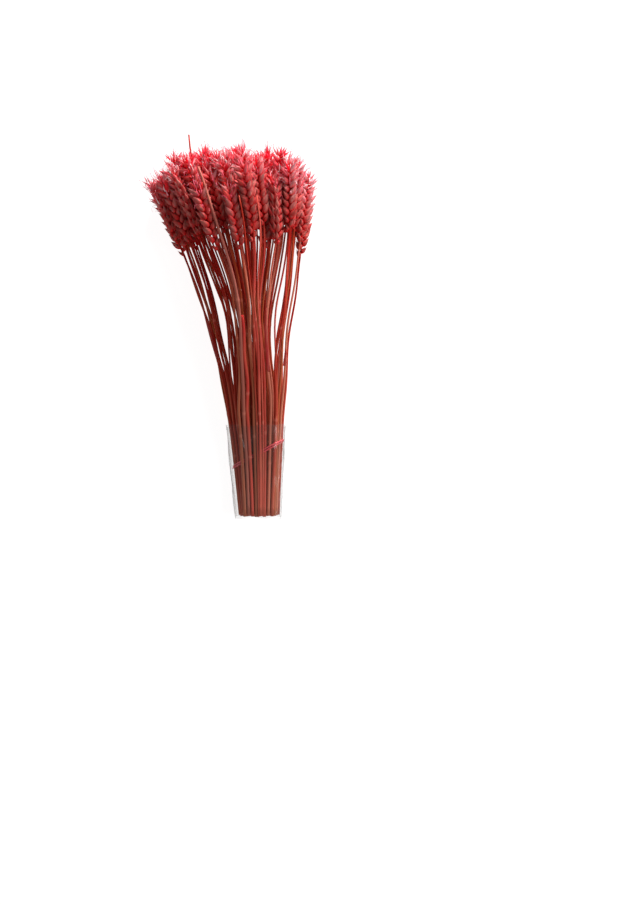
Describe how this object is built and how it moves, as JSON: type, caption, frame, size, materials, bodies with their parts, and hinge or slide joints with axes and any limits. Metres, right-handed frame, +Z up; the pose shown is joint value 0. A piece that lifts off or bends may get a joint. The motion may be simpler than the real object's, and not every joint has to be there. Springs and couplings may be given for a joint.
{
  "type": "bunch of dried wheat",
  "caption": "Fan-shaped tied bunch of pink dyed dried wheat ears on straws, held by an elastic band and a clear film sleeve, lying on its side.",
  "frame": {"origin": "on the table, under the middle of the bunch's box", "axes": "+X across the bunch, +Y along it from the cut ends to the ears, +Z up from the table"},
  "size_m": [0.1948, 0.4614, 0.0979],
  "materials": {
    "dyed_wheat": "matt dyed husk and straw",
    "bare_straw": "satin dyed straw",
    "dry_leaf": "matt dyed leaf",
    "elastic_band": "matt rubber",
    "clear_film": "clear film"
  },
  "bodies": {
    "root": {"bare_straw_1": "bare_straw", "bare_straw_2": "bare_straw", "elastic_band": "elastic_band", "film_sleeve": "clear_film", "leaf_blade_1": "dry_leaf", "leaf_blade_2": "dry_leaf", "leaf_blade_3": "dry_leaf", "stub_straw": "bare_straw", "wheat_stalk_01": "dyed_wheat", "wheat_stalk_02": "dyed_wheat", "wheat_stalk_03": "dyed_wheat", "wheat_stalk_04": "dyed_wheat", "wheat_stalk_05": "dyed_wheat", "wheat_stalk_06": "dyed_wheat", "wheat_stalk_07": "dyed_wheat", "wheat_stalk_08": "dyed_wheat", "wheat_stalk_09": "dyed_wheat", "wheat_stalk_10": "dyed_wheat", "wheat_stalk_11": "dyed_wheat", "wheat_stalk_12": "dyed_wheat", "wheat_stalk_13": "dyed_wheat", "wheat_stalk_14": "dyed_wheat", "wheat_stalk_15": "dyed_wheat", "wheat_stalk_16": "dyed_wheat", "wheat_stalk_17": "dyed_wheat", "wheat_stalk_18": "dyed_wheat", "wheat_stalk_19": "dyed_wheat", "wheat_stalk_20": "dyed_wheat", "wheat_stalk_21": "dyed_wheat", "wheat_stalk_22": "dyed_wheat", "wheat_stalk_23": "dyed_wheat", "wheat_stalk_24": "dyed_wheat", "wheat_stalk_25": "dyed_wheat", "wheat_stalk_26": "dyed_wheat", "wheat_stalk_27": "dyed_wheat", "wheat_stalk_28": "dyed_wheat", "wheat_stalk_29": "dyed_wheat", "wheat_stalk_30": "dyed_wheat", "wheat_stalk_31": "dyed_wheat", "wheat_stalk_32": "dyed_wheat", "wheat_stalk_33": "dyed_wheat", "wheat_stalk_34": "dyed_wheat", "wheat_stalk_35": "dyed_wheat", "wheat_stalk_36": "dyed_wheat", "wheat_stalk_37": "dyed_wheat", "wheat_stalk_38": "dyed_wheat", "wheat_stalk_39": "dyed_wheat", "wheat_stalk_40": "dyed_wheat", "wheat_stalk_41": "dyed_wheat", "wheat_stalk_42": "dyed_wheat", "wheat_stalk_43": "dyed_wheat", "wheat_stalk_44": "dyed_wheat", "wheat_stalk_45": "dyed_wheat", "wheat_stalk_46": "dyed_wheat", "wheat_stalk_47": "dyed_wheat", "wheat_stalk_48": "dyed_wheat", "wheat_stalk_49": "dyed_wheat", "wheat_stalk_50": "dyed_wheat"}
  },
  "joints": []
}
